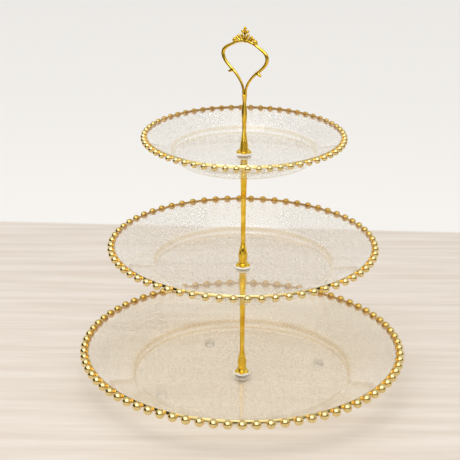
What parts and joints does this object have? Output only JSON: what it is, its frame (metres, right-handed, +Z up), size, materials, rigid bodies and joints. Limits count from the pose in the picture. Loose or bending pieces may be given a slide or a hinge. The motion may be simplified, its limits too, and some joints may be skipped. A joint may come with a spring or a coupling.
{
  "type": "tiered cake stand",
  "caption": "Free-standing tiered serving stand: shallow clear dishes with gold bead rims on a screwed centre column, topped by a crowned wire loop handle.",
  "frame": {"origin": "on the column's axis at table level, under the feet", "axes": "+Z up along the column; the handle's wire loop lies in the XZ plane, and +Y is the back"},
  "size_m": [0.33, 0.33, 0.3715],
  "materials": {
    "glitter_glass": "clear pressed glass with fine gold glitter specks",
    "gold_beads": "bright gold paint over moulded glass beads",
    "gold_plate": "polished gold plate over a cast metal rod",
    "soft_washer": "white translucent soft plastic",
    "clear_rubber": "clear soft bumper",
    "steel": "zinc-plated steel"
  },
  "bodies": {
    "base": {"bottom_plate": "glitter_glass", "bottom_bead_rim": "gold_beads", "foot_1": "clear_rubber", "foot_2": "clear_rubber", "foot_3": "clear_rubber", "foot_4": "clear_rubber", "base_screw": "steel", "base_washer": "steel", "bottom_lower_washer": "soft_washer"},
    "lower_seat": {"bottom_upper_washer": "soft_washer"},
    "middle_tier": {"lower_post": "gold_plate", "lower_stud": "steel", "middle_lower_washer": "soft_washer", "middle_plate": "glitter_glass", "middle_bead_rim": "gold_beads"},
    "middle_seat": {"middle_upper_washer": "soft_washer"},
    "top_tier": {"middle_post": "gold_plate", "middle_stud": "steel", "top_lower_washer": "soft_washer", "top_plate": "glitter_glass", "top_bead_rim": "gold_beads"},
    "handle_seat": {"top_upper_washer": "soft_washer"},
    "handle": {"handle_stem": "gold_plate", "crown_loop": "gold_plate"}
  },
  "joints": [
    {"name": "lower_post_rise", "type": "slide", "parent": "base", "child": "lower_seat", "axis": [0, 0, 1], "range_m": [0, 0.0071]},
    {"name": "lower_post_unscrew", "type": "hinge", "parent": "lower_seat", "child": "middle_tier", "pos_m": [0, 0, 0.0105], "axis": [0, 0, 1], "range_deg": [0, 3600]},
    {"name": "middle_post_rise", "type": "slide", "parent": "middle_tier", "child": "middle_seat", "axis": [0, 0, 1], "range_m": [0, 0.0071]},
    {"name": "middle_post_unscrew", "type": "hinge", "parent": "middle_seat", "child": "top_tier", "pos_m": [0, 0, 0.1292], "axis": [0, 0, 1], "range_deg": [0, 3600]},
    {"name": "handle_rise", "type": "slide", "parent": "top_tier", "child": "handle_seat", "axis": [0, 0, 1], "range_m": [0, 0.0071]},
    {"name": "handle_unscrew", "type": "hinge", "parent": "handle_seat", "child": "handle", "pos_m": [0, 0, 0.2479], "axis": [0, 0, 1], "range_deg": [0, 3600]}
  ],
  "couplings": [
    {"joint": "lower_post_rise", "follows": "lower_post_unscrew", "m_per_rad": 0.00011141},
    {"joint": "middle_post_rise", "follows": "middle_post_unscrew", "m_per_rad": 0.00011141},
    {"joint": "handle_rise", "follows": "handle_unscrew", "m_per_rad": 0.00011141}
  ]
}
